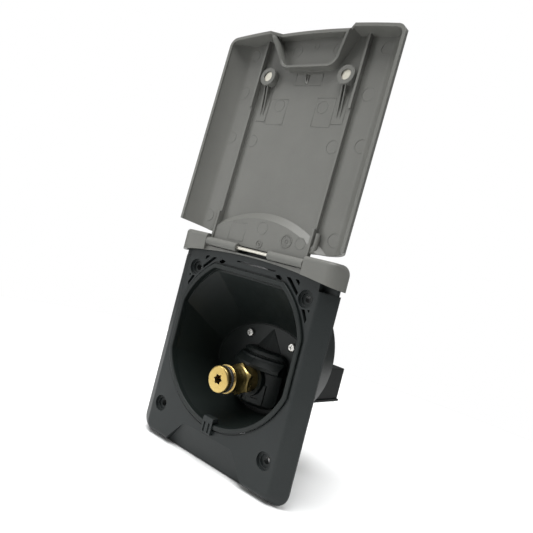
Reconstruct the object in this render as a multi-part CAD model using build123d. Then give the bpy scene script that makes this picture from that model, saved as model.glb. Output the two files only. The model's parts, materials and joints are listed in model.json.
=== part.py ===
"""Flush-mounted service inlet box with a magnetic flip-up lid and a plug-in hose nipple.

Frame: +X right, +Y into the wall, +Z up.  The wall surface is the plane Y = 0, and the
origin is the centre of the round mouth on that plane.  The lid is modelled shut and then
swung open about the hinge pin, which is the rest position of the assembly.
"""
from build123d import *
import os
from math import cos, radians, sin, sqrt

os.makedirs("parts", exist_ok=True)

# ---- overall sizes (mm) ------------------------------------------------------------------
FACE_Y = -8.0            # front face of the frame, measured from the wall plane
FACE_HALF = 61.5         # half width of the front face
FACE_BOTTOM = -84.2      # lower edge of the front face
FLANGE_HALF = FACE_HALF + 10.9  # half width at the wall
FLANGE_BOTTOM = FACE_BOTTOM - 3.2  # lower edge at the wall
FRAME_TOP = 69.0         # upper edge, under the hinge cover
FACE_CORNER = 6.0
FLANGE_CORNER = 10.0
LIP = 1.3                # upright edge at the wall
EDGE_ROUND = 3.4         # soft edge round the front face
SHELL = 3.0              # thickness of the face
WALL = 2.4               # thickness of the pot, the skirt and the lid
GAP = 0.3                # clearance between separate mouldings
FIT = 0.1                # radial running clearance

# ---- mouth, bead and pot -----------------------------------------------------------------
MOUTH_R = 59.6           # crest of the bead
MOUTH_SIDE = 56.5        # crest of the two upright flats
MOUTH_TOP = 50.1         # crest of the top flat
MOUTH_CORNER = 3.0       # rounding where the flats meet the circle
BEAD_IN = 2.1            # crest to inner edge
BEAD_OUT = 1.3           # crest to outer edge
BEAD_HEIGHT = 1.6
FUNNEL_OUT = 0.6         # the funnel starts this far outside the bead's inner edge
FUNNEL_STEP = 0.5        # and ends this far outside the oval that takes the carrier plate
GROOVE = 1.1             # shallow groove outside the bead
GROOVE_DEPTH = 0.5
POT_FLOOR = 38.0         # front of the carrier plate
POT_REAR = 44.4          # rear of the pot
REAR_A = 48.5            # rear opening: half width
REAR_B = 33.0            # rear opening: half height
REAR_Z = -17.6           # rear opening: centre height
SKIRT_R = 60.6           # outer skirt at the face
SKIRT_REAR_R = 53.6      # outer skirt at the rear
LEDGE = 11.0             # inward ledge that carries the plate

# ---- wall screws, slots, finger recess ---------------------------------------------------
SCREW_X = FACE_HALF - 9.3
SCREW_TOP = 44.8
SCREW_BOTTOM = FACE_BOTTOM + 21.7
SCREW_HOLE_R = 2.4
RECESS_R = 6.0
RECESS_DEPTH = 2.0
SEAT_R = 4.4
SEAT_DEPTH = 1.4
BOSS_R = 7.6
POCKET_HALF = FACE_HALF - 2.5
POCKET_TOP = 58.0
POCKET_BOTTOM = FACE_BOTTOM + 13.2
RAMP_TOP = FACE_BOTTOM + 17.2
RAMP_HALF_TOP = 24.0
RAMP_HALF_BOTTOM = 38.5
RAMP_DEPTH = 5.5
STEP_Z = 51.5            # the frame's sides are set back above this height
STEP_IN = 1.2
SLOT_BACK_X = 20.0       # plates that close the slots off behind: inner edge, lower edge, rear
SLOT_BACK_Z = 27.0
SLOT_BACK_Y = -1.8
SLOT_BACK_T = 1.2
SLIT_X = (-13, 23)       # narrow slit above the mouth
SLIT_Z = 56.8
GASKET_T = 1.5
GASKET_WIDTH = 3.5
GASKET_INSET = 2.2

# ---- hinge, cover and lid ----------------------------------------------------------------
HINGE_Y = -9.1
HINGE_Z = 66.1
PIN_R = 1.25
BARREL_R = PIN_R + 1.75
BARREL_FROM = 15.0
BARREL_TO = 44.9
CHEEK_X = 45.5
CHEEK_T = 2.0
EAR_T = 2.6
EAR_X = 49.1             # middle of the ear that the pin lies in
EAR_FRONT = 0.9          # the ear ends this far before the pin's axis
EAR_HALF = 2.9           # and reaches this far above it
HINGE_POCKET_HALF = 53.5
HINGE_POCKET_BACK = -3.3
HINGE_POCKET_FLOOR = 62.8
PIN_END = 52.0
PIN_BARE_GAP = 0.75      # between the bare middle of the pin and the lid
PIN_FIT = 0.06           # running clearance of the lid's barrels on the pin
PIN_SEAT_FIT = 0.05
HINGE_SCREW_Y = -3.5     # seat of the cover's screws, driven from behind
HINGE_SHANK_R = 1.2
HINGE_HEAD_R = 2.6
OPEN_ANGLE = 182.3
PART_ARC_R = 420.0       # plan radius of the joint line between lid and cover
PART_ARC_Z = 61.3        # its apex on the centre line
COVER_HALF = FACE_HALF + 13.5
COVER_FRONT_HALF = FACE_HALF + 4.5
COVER_FRONT = -12.2
COVER_TOP = 71.6
COVER_BACK = -0.5
COVER_CORNER = 7.0
COVER_ROUND = 2.6        # soft upper edge
COVER_SCREW = (FACE_HALF, 60.7)
BAR_FRONT = -9.5
BAR_TOP = 62.6
LID_HALF = FACE_HALF + 13.7
LID_FRONT_HALF = FACE_HALF + 1.5
LID_RIM = 6.7            # rim plane behind the hinge axis, lid shut
LID_FRONT = 9.0          # front face before the hinge axis, lid shut
LID_LENGTH = HINGE_Z - FACE_BOTTOM + 11.7  # hinge axis to the middle of the free end
LID_END_R = 562.0
LID_CORNER = 7.0
CROWN = 0.8
BEND_FROM = 29.0         # the lid's front slopes down to the hinge from here
BEND_R = 126.0
BEND_ANGLE = 42.0
BEND_TO = 4.4            # and runs flat again this far before the hinge axis
RIB_X = 44.0
RIB_T = 1.8
BOSS_X = 34.4
BOSS_S = LID_LENGTH - 32.5
LID_BOSS_R = 6.7
LID_BOSS_FACE = -1.3     # boss face before (-) or behind (+) the hinge axis, lid shut
MAGNET_R = 3.7
MAGNET_T = 3.0
MAGNET_SUNK = 1.0
KEEPER_R = 5.2
KEEPER_T = 1.6
KEEPER_REAR = -2.4       # rear edge of the cups that hold the keepers
NOTCH_END_HALF = 29.5    # finger notch in the free end: half width at the low part of the end wall
NOTCH_MOUTH_HALF = 36.4  # half width at the rim
NOTCH_TOP_HALF = 22.6    # half width of the wall that closes it off inside, at its far side
NOTCH_FROM = LID_LENGTH - 27.0
NOTCH_CORNER = 9.0
NOTCH_WALL = 1.5
NOTCH_WALL_TOP = 0.4     # top of that wall behind the hinge axis, lid shut
NOTCH_RISE_FROM = LID_LENGTH - 21.0  # from here its two sides climb to the rim
NOTCH_RISE_TO = LID_LENGTH - 6.5
NOTCH_DEEP = 4.6
POST_R = 1.7             # round posts beside the ribs, near the hinge
POST_X = 47.2
POST_L = 13.0
POST_S = 15.0            # its middle, from the hinge axis
POST_Y = 3.4             # its axis in front of the hinge axis, lid shut
RIB_STEPS = ((0, 24, -0.8), (24, 106, -2.8), (106, LID_LENGTH, -1.8))    # from, to, crest
BOSS_PAD_HALF = 4.5      # raised pad that runs from each boss towards the hinge
BOSS_PAD_END = 33.0
BOSS_PAD_H = 0.5
FIN_X = 1.3              # two fins on each pad
FIN_T = 0.9
FIN_END = 30.0

# ---- plug-in nipple ----------------------------------------------------------------------
AXIS_Z = -26.0
TIP_Y = -11.2
NIPPLE_R = 9.5
NIPPLE_FLANGE_R = 10.3
ORING_R = 1.35
ORING_CENTRE_R = 8.3
ORING_Y = -5.9
NUT_FLATS = 21.0
NUT_FROM = 0.2
NUT_LENGTH = 13.2
NUT_NECK_R = 8.0         # the nut flares from this neck to its flats
TUBE_R = 9.2
TUBE_THREAD_R = TUBE_R - 1.2
STEM_R = 6.5
LOCKNUT_FLATS = 22.0
LOCKNUT_T = 5.0
WASHER_T = 1.0
BORE_R = 2.6
SOCKET_R = 2.9           # six-lobed key socket in the nose
SOCKET_LOBE_R = 0.85
SOCKET_DEPTH = 8.0
TAIL_R = 5.0

# ---- carrier plate, dome and rear box ----------------------------------------------------
PLATE_T = 3.0
PLATE_HOLE_R = 13.2      # opening round the locknut
SEAL_T = 1.0
PLATE_SCREWS = ((20.8, 22.2), (27.0, -20.0))     # offsets from the middle of the rear opening
PLATE_SHANK_R = 1.45
COVER_SCREW_AT = (33.0, 18.5)
COVER_SHANK_R = 1.3
DOME_HALF = 21.5
DOME_TOP = -3.2
DOME_BOTTOM = -45.0
DOME_FRONT = 24.5
SEAM = 0.12
DOME_BOW = 30.0          # radius the dome's front is bowed to, in plan
DOME_SCREW = (14.0, -33.0, -9.0)
DOME_SCREW_L = 9.0
DUCT_LEFT = 12.5
DUCT_RIGHT = 40.0
DUCT_TOP = -4.8
DUCT_BOTTOM = -29.2
DUCT_REAR = 87.0
DUCT_WALL = 2.2
DUCT_LID_T = 1.6
DUCT_LID_OUT = 1.0
REAR_COVER_T = 2.4
TAIL_FROM = 50.0
TAIL_END = 84.0

AXIS = Axis((0, HINGE_Y, HINGE_Z), (1, 0, 0))


# ---- helpers -----------------------------------------------------------------------------
def xz(y):
    """Sketch plane parallel to the wall: local x = +X, local y = +Z, extrudes towards +Y."""
    return Plane(origin=(0, y, 0), x_dir=(1, 0, 0), z_dir=(0, -1, 0))


def slab(sketch, y0, y1):
    """Extrude a sketch given in (X, Z) from Y = y0 to Y = y1."""
    return extrude(xz(y1) * sketch, amount=y1 - y0)


def rod(x, z, radius, y0, y1):
    return slab(Pos(x, z) * Circle(radius), y0, y1)


def block(x0, x1, y0, y1, z0, z1):
    return Pos((x0 + x1) / 2, (y0 + y1) / 2, (z0 + z1) / 2) * Box(x1 - x0, y1 - y0, z1 - z0)


def bar_x(radius, x0, x1, y=HINGE_Y, z=HINGE_Z):
    """Round bar along X."""
    return Pos((x0 + x1) / 2, y, z) * Rot(0, 90, 0) * Cylinder(radius, x1 - x0)


def mirrored(shape):
    return shape + mirror(shape, about=Plane.YZ)


def mouth(grow):
    """Mouth outline: a circle cut by a top flat and two side flats, grown by an offset."""
    side = MOUTH_SIDE + grow
    top = MOUTH_TOP + grow
    low = MOUTH_R + grow + 1
    outline = Circle(MOUTH_R + grow) & (Pos(0, (top - low) / 2) * Rectangle(2 * side, top + low))
    return fillet(outline.vertices(), MOUTH_CORNER)


def ellipse(grow):
    return Pos(0, REAR_Z) * Ellipse(REAR_A + grow, REAR_B + grow)


def plate_screw_points():
    return [(sx * x, REAR_Z + dz) for sx in (-1, 1) for x, dz in PLATE_SCREWS]


def cover_screw_points():
    x, dz = COVER_SCREW_AT
    return [(sx * x, REAR_Z + sz * dz) for sx in (-1, 1) for sz in (-1, 1)]


def wall_screw_points():
    return [(sx * SCREW_X, z) for sx in (-1, 1) for z in (SCREW_TOP, SCREW_BOTTOM)]


def keeper_points():
    return [(sx * BOSS_X, HINGE_Z - BOSS_S) for sx in (-1, 1)]


def pan_screw(x, z, y_seat, head_r, head_h, shank_r, shank_l):
    """Pan-head screw with a cross recess, driven towards +Y."""
    head = rod(x, z, head_r, y_seat - head_h, y_seat)
    head = fillet(head.faces().sort_by(Axis.Y)[0].edges(), head_h * 0.45)
    cross = slab(Pos(x, z) * (Rectangle(head_r * 1.1, 0.9) + Rectangle(0.9, head_r * 1.1)),
                 y_seat - head_h, y_seat - head_h * 0.45)
    return head + rod(x, z, shank_r, y_seat, y_seat + shank_l) - cross


def back_screw(x, z, y_seat, head_r, head_h, shank_r, shank_l):
    """The same screw driven from behind, towards -Y."""
    front = pan_screw(x, z, 0, head_r, head_h, shank_r, shank_l)
    return Pos(0, y_seat, 0) * mirror(front, about=Plane.XZ)


def hexagon(flats):
    return RegularPolygon(flats / sqrt(3), 6)


# ---- frame and pot -----------------------------------------------------------------------
def frame_blank():
    mid = (FACE_BOTTOM + FRAME_TOP) / 2
    face = Pos(0, mid) * RectangleRounded(2 * FACE_HALF, FRAME_TOP - FACE_BOTTOM, FACE_CORNER)
    low = (FLANGE_BOTTOM + FRAME_TOP) / 2
    flange = Pos(0, low) * RectangleRounded(2 * FLANGE_HALF, FRAME_TOP - FLANGE_BOTTOM, FLANGE_CORNER)
    body = loft([xz(FACE_Y) * face, xz(-LIP) * flange], ruled=True)
    body = fillet(body.faces().sort_by(Axis.Y)[0].edges(), EDGE_ROUND)
    return body + slab(flange, -LIP, 0)


def pot_outline(y, grow, k):
    """Wire round the pot's inside: k = 0 is the mouth, k = 1 the oval at the carrier plate."""
    grow_front = grow - BEAD_IN + FUNNEL_OUT
    r, a, b = MOUTH_R + grow_front, MOUTH_SIDE + grow_front, MOUTH_TOP + grow_front
    top_x, side_z = sqrt(r * r - b * b), sqrt(r * r - a * a)
    corner = r / sqrt(2)
    front = [(-top_x, b), (0, b), (top_x, b), (corner, corner), (a, side_z), (a, 0), (a, -side_z),
             (0, -r), (-a, -side_z), (-a, 0), (-a, side_z), (-corner, corner)]
    ra, rb = REAR_A + FUNNEL_STEP + grow, REAR_B + FUNNEL_STEP + grow
    angles = [123, 90, 57, 38, 14, 0, -16, -90, -164, 180, 166, 142]
    rear = [(ra * cos(radians(t)), REAR_Z + rb * sin(radians(t))) for t in angles]
    pts = [((1 - k) * p[0] + k * q[0], (1 - k) * p[1] + k * q[1]) for p, q in zip(front, rear)]
    vec = [Vector(p[0], y, p[1]) for p in pts]
    edges = []
    for i in range(0, 12, 2):
        ends = (vec[i], vec[(i + 1) % 12], vec[(i + 2) % 12])
        flat = k == 0 and i in (0, 4, 8)
        edges.append(Line(ends[0], ends[2]) if flat else ThreePointArc(*ends))
    return Wire(edges)


def pot_volume(grow, y0, y1):
    """Space inside the pot, grown by an offset, from y0 to y1."""
    return Solid.make_loft([pot_outline(y0, grow, 0), pot_outline(y1, grow, 1)], True)


def slot_cutters():
    """Decorative openings beside each upper corner screw, right side."""
    shapes = [
        [(23.5, 54.4), (27.3, 55.2), (30.3, 53.2), (28.3, 51.8), (25.5, 52.6)],
        [(33.0, 55.4), (36.6, 55.4), (45.4, 47.2), (44.4, 45.0)],
        [(40.4, 55.4), (43.6, 55.4), (44.7, 54.0), (44.4, 51.6)],
        [(51.0, 37.7), (53.6, 38.1), (56.8, 32.2), (56.0, 29.4)],
        [(55.4, 38.3), (57.4, 38.6), (57.0, 36.6)],
    ]
    depth = FACE_Y - 1
    return [slab(make_face(Polyline(*[Vector(*p) for p in s], close=True)), depth, FACE_Y + SHELL + 1)
            for s in shapes]


def gasket_ring(grow):
    out = FLANGE_HALF - STEP_IN - GASKET_INSET + grow
    top, low = FRAME_TOP - GASKET_INSET + grow, FLANGE_BOTTOM + GASKET_INSET - grow
    outer = Pos(0, (top + low) / 2) * RectangleRounded(2 * out, top - low, FLANGE_CORNER - GASKET_INSET)
    width = 2 * (GASKET_WIDTH + 2 * grow)
    return outer - Pos(0, (top + low) / 2) * RectangleRounded(2 * out - width, top - low - width, 4.5)


def ramp_cutter():
    """Finger recess: slopes back towards the lower edge and widens on the way."""
    z_end = FLANGE_BOTTOM - 3
    drop = RAMP_DEPTH * (RAMP_TOP - z_end) / (RAMP_TOP - FACE_BOTTOM)
    side = make_face(Polyline((0, 0), (0, z_end - RAMP_TOP), (drop, z_end - RAMP_TOP), close=True))
    wedge = extrude(Plane(origin=(-60, FACE_Y, RAMP_TOP), x_dir=(0, 1, 0), z_dir=(1, 0, 0)) * side,
                    amount=120)
    spread = RAMP_HALF_BOTTOM - RAMP_HALF_TOP
    slope = spread * (RAMP_TOP - z_end) / (RAMP_TOP - FACE_BOTTOM)
    plan = make_face(Polyline((-RAMP_HALF_TOP, RAMP_TOP), (RAMP_HALF_TOP, RAMP_TOP),
                              (RAMP_HALF_TOP + slope, z_end), (-RAMP_HALF_TOP - slope, z_end), close=True))
    plan = fillet(plan.vertices().group_by(Axis.Y)[-1], 8)
    return wedge & slab(plan, FACE_Y - 2, 4)


def hollow_frame():
    """Front plate with its sloping sides, set back at the top and hollow behind the face."""
    frame = frame_blank()
    above = block(-90, 90, -30, 5, STEP_Z, 90)
    inner = block(-FACE_HALF + STEP_IN, FACE_HALF - STEP_IN, -30, 5, STEP_Z - 1, 90)
    deep = block(-FLANGE_HALF + STEP_IN, FLANGE_HALF - STEP_IN, -LIP - STEP_IN, 5, STEP_Z - 1, 90)
    frame -= above - inner - deep
    pocket = slab(Pos(0, (POCKET_TOP + POCKET_BOTTOM) / 2)
                  * RectangleRounded(2 * POCKET_HALF, POCKET_TOP - POCKET_BOTTOM, 5), FACE_Y + SHELL, 1)
    for x, z in wall_screw_points():
        pocket -= rod(x, z, BOSS_R, FACE_Y, 2)
    pocket -= mirrored(block(SLOT_BACK_X, POCKET_HALF + 1, SLOT_BACK_Y - SLOT_BACK_T, SLOT_BACK_Y,
                             SLOT_BACK_Z, POCKET_TOP + 1))
    return frame - pocket


def skirt_cone(grow):
    """Tapered outside of the pot, grown by an offset."""
    start = FACE_Y + SHELL
    return Solid.make_cone(SKIRT_R + grow, SKIRT_REAR_R + grow, POT_REAR - start,
                           Plane(origin=(0, start, 0), z_dir=(0, 1, 0)))


def bead():
    """Raised rim of the pot that stands through the frame's mouth."""
    ring = slab(mouth(BEAD_OUT) - mouth(-BEAD_IN), FACE_Y - BEAD_HEIGHT, FACE_Y + SHELL)
    return fillet(ring.faces().sort_by(Axis.Y)[0].edges(), BEAD_HEIGHT * 0.5)


def build_pot():
    """Funnel with its rim, outer skirt and the oval sleeve that takes the carrier plate."""
    skirt = skirt_cone(0)
    rear_wall = rod(0, 0, SKIRT_REAR_R, POT_REAR - WALL, POT_REAR) & skirt
    above = Pos(0, 60) * Rectangle(200, 2 * (60 - REAR_Z))
    rear_wall -= slab(ellipse(0) + above, 0, POT_REAR + 1)
    shell = pot_volume(WALL, FACE_Y + SHELL / 2, POT_FLOOR) & skirt
    sleeve = slab(ellipse(WALL), POT_FLOOR, POT_REAR) & skirt
    ledge = slab(ellipse(WALL) - ellipse(-LEDGE), POT_FLOOR + PLATE_T + SEAL_T, POT_REAR) & skirt
    body = skirt - skirt_cone(-WALL) + shell + sleeve + rear_wall
    body -= pot_volume(0, FACE_Y - 0.01, POT_FLOOR)
    body -= slab(ellipse(0), POT_FLOOR - 0.05, POT_REAR + 1)
    body += ledge
    body += bead()
    for x, z in plate_screw_points():
        body -= rod(x, z, PLATE_SHANK_R + FIT, POT_FLOOR, POT_REAR + 1)
    for x, z in cover_screw_points():
        body -= rod(x, z, COVER_SHANK_R + FIT, POT_FLOOR + PLATE_T, POT_REAR + 1)
    return body


def cut_screw_seats(body):
    for x, z in wall_screw_points():
        body -= rod(x, z, RECESS_R, FACE_Y - 1, FACE_Y + RECESS_DEPTH)
        body -= rod(x, z, SEAT_R, FACE_Y - 1, FACE_Y + RECESS_DEPTH + SEAT_DEPTH)
        body -= rod(x, z, SCREW_HOLE_R, FACE_Y - 1, 2)
    return body


def add_keeper_cups(body):
    """Cups behind the face that hold the steel discs the lid magnets pull on."""
    for x, z in keeper_points():
        cup = rod(x, z, KEEPER_R + FIT + 1.6, FACE_Y + SHELL - 0.5, KEEPER_REAR)
        body += cup - rod(x, z, KEEPER_R + FIT, FACE_Y + SHELL, KEEPER_REAR + 1)
    return body


def add_hinge_seat(body):
    """Recess for the lid's barrels, with an ear at each end that the pin lies in."""
    body -= block(-HINGE_POCKET_HALF, HINGE_POCKET_HALF, -30, HINGE_POCKET_BACK, HINGE_POCKET_FLOOR, 90)
    for side in (-1, 1):
        x = side * EAR_X
        ear = block(x - EAR_T / 2, x + EAR_T / 2, HINGE_Y - EAR_FRONT, HINGE_POCKET_BACK + 0.5,
                    HINGE_POCKET_FLOOR - 0.5, HINGE_Z + EAR_HALF)
        body += ear
        sx, sz = side * COVER_SCREW[0], COVER_SCREW[1]
        body -= rod(sx, sz, HINGE_SHANK_R + FIT, -12, 1)
        body -= rod(sx, sz, HINGE_HEAD_R + GAP, HINGE_SCREW_Y, 1)
    saddle = PIN_R + PIN_SEAT_FIT
    body -= bar_x(saddle, -HINGE_POCKET_HALF, HINGE_POCKET_HALF)
    return body - block(-HINGE_POCKET_HALF, HINGE_POCKET_HALF, -30, HINGE_Y,
                        HINGE_Z - saddle, HINGE_Z + saddle)


def build_frame():
    body = hollow_frame()
    body -= slab(mouth(BEAD_OUT + FIT), FACE_Y - 1, 1)
    body -= slab(mouth(BEAD_OUT + GROOVE), FACE_Y - 1, FACE_Y + GROOVE_DEPTH)
    body -= skirt_cone(FIT)
    body = cut_screw_seats(body)
    body = add_keeper_cups(body)
    body = add_hinge_seat(body)
    body -= slab(gasket_ring(FIT), -GASKET_T, 1)
    for cutter in slot_cutters():
        body -= mirrored(cutter)
    body -= block(*SLIT_X, FACE_Y - 1, FACE_Y + SHELL + 1, SLIT_Z - 0.5, SLIT_Z + 0.5)
    return body - ramp_cutter()


# ---- lid and hinge cover -------------------------------------------------------------------
def shell_section(half, rim, lip, front_half, front, grow, crown=CROWN):
    """Cross-section (X, Y) of a shallow arched shell, shrunk by a positive grow."""
    back = rim + (5 if grow else 0)
    edge = rim - lip
    right = [(half - grow, back), (half - grow, edge), (front_half - grow * 0.6, front + crown + grow)]
    side = ThreePointArc(right[1], (half - grow - (half - front_half) * 0.36,
                                    edge + (front + crown + grow - edge) * 0.58), right[2])
    nose = ThreePointArc(right[2], (0, front + grow), (-right[2][0], right[2][1]))
    flip = side.mirror(Plane.YZ)
    outline = Wire([Line(right[0], right[1]), side, nose, flip,
                    Line((-right[1][0], right[1][1]), (-right[0][0], right[0][1])),
                    Line((-right[0][0], right[0][1]), right[0])])
    face = make_face(outline)
    corners = [v for v in face.vertices() if abs(abs(v.X) - right[2][0]) < 0.01]
    return fillet(corners, 9.0 - grow)


def lid_plan(grow, open_top):
    """Outline of the shut lid seen from the front, shrunk by a positive grow."""
    end_z = HINGE_Z - LID_LENGTH + grow
    plan = Pos(0, (PART_ARC_Z + end_z) / 2) * Rectangle(2 * (LID_HALF - grow), PART_ARC_Z - end_z + 60)
    plan &= Pos(0, end_z + LID_END_R) * Circle(LID_END_R)
    low = plan.vertices().group_by(Axis.Y)[0]
    plan = fillet(low, LID_CORNER - grow)
    if open_top:
        return plan & (Pos(0, HINGE_Z - 200) * Rectangle(400, 400))
    arc = Pos(0, PART_ARC_Z - GAP - PART_ARC_R) * Circle(PART_ARC_R)
    tongue = Pos(0, HINGE_Z / 2) * Rectangle(2 * BARREL_TO, HINGE_Z)
    return plan & (arc + tongue)


def bend_tool(depth):
    """Big tilted cylinder in front of the lid that slopes the front down to the hinge."""
    tilt = radians(BEND_ANGLE)
    start = Vector(0, HINGE_Y - LID_FRONT + depth, HINGE_Z - BEND_FROM)
    centre = start - Vector(0, cos(tilt), -sin(tilt)) * BEND_R
    tool = Plane(origin=centre, z_dir=(0, sin(tilt), cos(tilt))) * Cylinder(BEND_R, 600)
    return tool & block(-100, 100, -80, HINGE_Y - BEND_TO + depth, lid_from_hinge(60), 100)


def lid_volume(grow):
    args = (LID_HALF, HINGE_Y + LID_RIM, 1.5, LID_FRONT_HALF, HINGE_Y - LID_FRONT, grow)
    tube = extrude(Pos(0, 0, -150) * shell_section(*args), amount=260)
    plan = slab(lid_plan(grow, grow > 0), -60, 20)
    return (tube & plan) - bend_tool(grow)


def notch_plan(grow):
    """Plan of the finger notch: widens towards the free end, with rounded inner corners."""
    top, end = HINGE_Z - NOTCH_FROM - grow, HINGE_Z - LID_LENGTH - 6
    slope = (NOTCH_MOUTH_HALF - NOTCH_TOP_HALF) / (LID_LENGTH - NOTCH_FROM)
    end_half = NOTCH_MOUTH_HALF + 6 * slope - grow
    plan = make_face(Polyline((-NOTCH_TOP_HALF + grow, top), (NOTCH_TOP_HALF - grow, top),
                              (end_half, end), (-end_half, end), close=True))
    return fillet(plan.vertices().group_by(Axis.Y)[-1], NOTCH_CORNER - grow)


def notch_gap():
    """What is cut out of the end wall: sloping ends, down to the top of the notch's own wall."""
    low, high = HINGE_Y + NOTCH_WALL_TOP, HINGE_Y + LID_RIM
    rise = (NOTCH_MOUTH_HALF - NOTCH_END_HALF) * 1.2
    gap = make_face(Polyline((-NOTCH_END_HALF, low), (NOTCH_END_HALF, low), (NOTCH_END_HALF + rise, high + 1),
                             (-NOTCH_END_HALF - rise, high + 1), close=True))
    return extrude(Pos(0, 0, lid_from_hinge(LID_LENGTH) - 6) * gap, amount=6 + NOTCH_DEEP)


def notch_wall():
    """Wall round the notch: low across its far side, climbing to the rim along both sides."""
    front, rim = HINGE_Y - LID_FRONT, HINGE_Y + LID_RIM
    low, end = HINGE_Y + NOTCH_WALL_TOP, lid_from_hinge(LID_LENGTH) - 8
    start = lid_from_hinge(NOTCH_FROM) + 4
    side = make_face(Polyline((front - 2, start), (low, start), (low, lid_from_hinge(NOTCH_RISE_FROM)),
                              (rim, lid_from_hinge(NOTCH_RISE_TO)), (rim, end), (front - 2, end),
                              close=True))
    height = extrude(Plane(origin=(-60, 0, 0), x_dir=(0, 1, 0), z_dir=(1, 0, 0)) * side, amount=120)
    return slab(notch_plan(0) - notch_plan(NOTCH_WALL), front - 3, rim + 1) & height


def lid_from_hinge(s):
    """Height of a point at distance s from the hinge axis, lid shut."""
    return HINGE_Z - s


def build_lid():
    outer = lid_volume(0)
    front = HINGE_Y - LID_FRONT
    lid = outer - lid_volume(WALL)
    extras = Part() + notch_wall()
    for side in (-1, 1):
        for s0, s1, crest in RIB_STEPS:
            extras += block(side * RIB_X - RIB_T / 2, side * RIB_X + RIB_T / 2, front - 2,
                            HINGE_Y + crest, lid_from_hinge(s1), lid_from_hinge(s0))
        extras += Pos(side * POST_X, HINGE_Y - POST_Y, lid_from_hinge(POST_S)) * Cylinder(POST_R, POST_L)
        x, z = side * BOSS_X, lid_from_hinge(BOSS_S)
        extras += rod(x, z, LID_BOSS_R, front - 2, HINGE_Y + LID_BOSS_FACE)
        extras += block(x - BOSS_PAD_HALF, x + BOSS_PAD_HALF, front - 2, front + WALL + BOSS_PAD_H,
                        z + 4, z + BOSS_PAD_END)
        fin = make_face(Polyline((HINGE_Y + LID_BOSS_FACE - 0.8, z + 4), (front, z + 4),
                                 (front, z + FIN_END), (front + WALL + 0.4, z + FIN_END), close=True))
        for offset in (-FIN_X, FIN_X):
            extras += extrude(Plane(origin=(x + offset - FIN_T / 2, 0, 0), x_dir=(0, 1, 0), z_dir=(1, 0, 0))
                              * fin, amount=FIN_T)
    lid += extras & outer
    lid -= notch_gap()
    for x, z in keeper_points():
        face = HINGE_Y + LID_BOSS_FACE
        lid -= rod(x, z, MAGNET_R + FIT / 2, face - MAGNET_T - MAGNET_SUNK, face + 1)
    lid -= block(-BARREL_FROM, BARREL_FROM, -30, 0, lid_from_hinge(PIN_R + PIN_BARE_GAP), 80)
    for side in (-1, 1):
        x0, x1 = sorted((side * BARREL_FROM, side * BARREL_TO))
        lid += bar_x(BARREL_R, x0, x1)
    lid -= bar_x(PIN_R + PIN_FIT, -60, 60)
    return lid.rotate(AXIS, -OPEN_ANGLE)


def build_magnets():
    face = HINGE_Y + LID_BOSS_FACE - MAGNET_SUNK
    discs = Part() + [rod(x, z, MAGNET_R, face - MAGNET_T, face) for x, z in keeper_points()]
    return discs.rotate(AXIS, -OPEN_ANGLE)


def cover_volume(grow):
    args = (COVER_HALF, COVER_BACK, 1.5, COVER_FRONT_HALF, COVER_FRONT, grow)
    tube = extrude(Pos(0, 0, 30) * shell_section(*args), amount=60)
    mid, height = (COVER_TOP + 30) / 2 - grow, COVER_TOP - 30
    plan = Pos(0, mid) * RectangleRounded(2 * (COVER_HALF - grow), height, COVER_CORNER - grow)
    if not grow:
        plan -= Pos(0, PART_ARC_Z + GAP - PART_ARC_R) * Circle(PART_ARC_R)
    return tube & slab(plan, -40, 20 if grow else COVER_BACK)


def build_cover():
    outer = cover_volume(0)
    crest = [e for e in outer.edges().group_by(Axis.Z)[-1] if e.center().Y < COVER_BACK - 1]
    outer = fillet(crest, COVER_ROUND)
    cover = outer - cover_volume(WALL)
    cover -= block(-CHEEK_X, CHEEK_X, -30, 10, HINGE_POCKET_FLOOR, 90)
    cover -= block(-CHEEK_X, CHEEK_X, -30, BAR_FRONT, 30, 90)
    arc = slab(Pos(0, PART_ARC_Z + GAP - PART_ARC_R) * Circle(PART_ARC_R), -40, 10)
    bar = block(-CHEEK_X - 1, CHEEK_X + 1, BAR_FRONT, FACE_Y - FIT, 40, BAR_TOP)
    extras = bar - arc
    for side in (-1, 1):
        x0, x1 = sorted((side * CHEEK_X, side * (CHEEK_X + CHEEK_T)))
        cheek = block(x0, x1, COVER_FRONT, FACE_Y - FIT, 40, COVER_TOP)
        cheek += block(x0, x1, COVER_FRONT, HINGE_POCKET_BACK - GAP, HINGE_POCKET_FLOOR + GAP, COVER_TOP)
        cheek += block(x0, x1, COVER_FRONT, COVER_BACK, FRAME_TOP + FIT, COVER_TOP)
        x, z = side * COVER_SCREW[0], COVER_SCREW[1]
        boss = rod(x, z, HINGE_HEAD_R + 0.2, COVER_FRONT - 2, FACE_Y - FIT)
        extras += ((cheek + boss) & outer) - arc
    cover += extras
    for side in (-1, 1):
        x0, x1 = sorted((side * (CHEEK_X + CHEEK_T), side * HINGE_POCKET_HALF))
        cover -= block(x0, x1, HINGE_Y - PIN_R - GAP, HINGE_POCKET_BACK,
                       HINGE_POCKET_FLOOR - 0.5 - GAP, HINGE_Z + EAR_HALF + FIT)
        cover -= rod(side * COVER_SCREW[0], COVER_SCREW[1], HINGE_SHANK_R + FIT / 2, -10.6, 0)
    return cover - bar_x(PIN_R + GAP, -EAR_X, EAR_X)


def build_pin():
    return bar_x(PIN_R, -PIN_END, PIN_END)


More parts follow.
